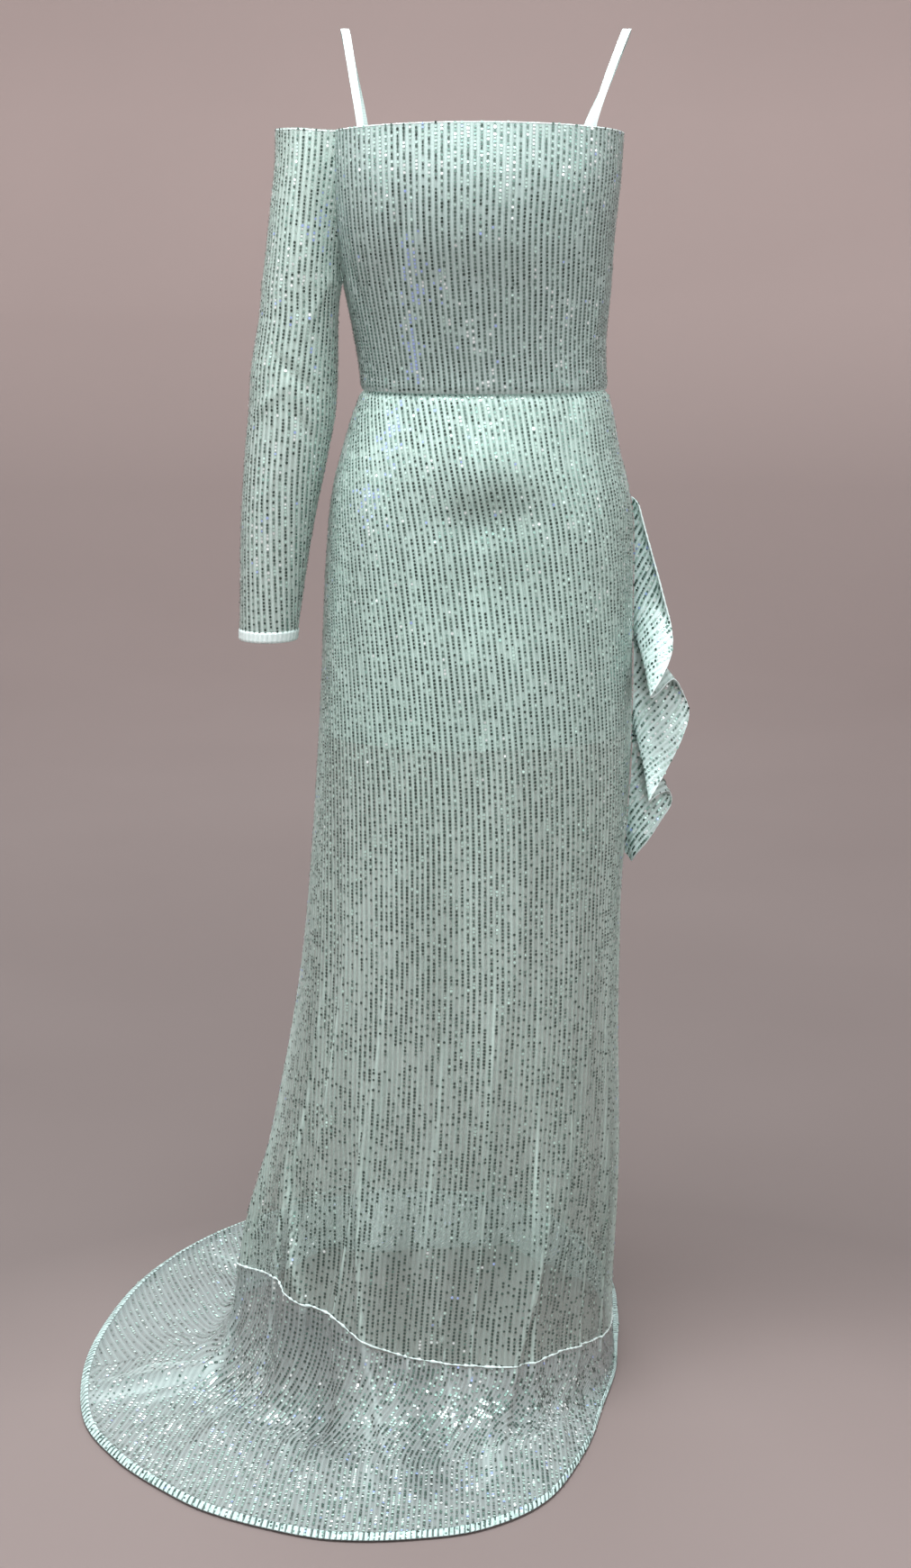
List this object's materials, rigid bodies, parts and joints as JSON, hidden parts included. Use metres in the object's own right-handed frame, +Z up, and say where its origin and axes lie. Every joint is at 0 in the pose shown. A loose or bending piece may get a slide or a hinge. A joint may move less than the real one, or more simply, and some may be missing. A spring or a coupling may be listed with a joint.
{
  "type": "evening gown",
  "caption": "Floor-length sequinned evening gown with a straight neckline, narrow straps, a single long sleeve, a side cascade ruffle, a short inner lining and a spread train.",
  "frame": {"origin": "midway between the two straps at their highest point, where the wearer's shoulders hold the gown", "axes": "+Z up, +X towards the wearer's left (the cascade side), -Y towards the viewer (the gown's front)"},
  "size_m": [0.6265, 0.899, 1.3585],
  "materials": {
    "sequin_cloth": "pale silver-mint stretch mesh sewn with rows of small silver sequins",
    "lining_cloth": "plain matt pale mint knit lining",
    "strap_elastic": "plain white woven elastic"
  },
  "bodies": {
    "root": {"bodice_front": "sequin_cloth", "bodice_back": "sequin_cloth", "sleeve": "sequin_cloth", "strap_sleeve_side": "strap_elastic", "strap_cascade_side": "strap_elastic", "skirt_front": "sequin_cloth", "skirt_back": "sequin_cloth", "lining_front": "lining_cloth", "lining_back": "lining_cloth", "side_cascade": "sequin_cloth", "train_front": "sequin_cloth", "train_back": "sequin_cloth"}
  },
  "joints": []
}
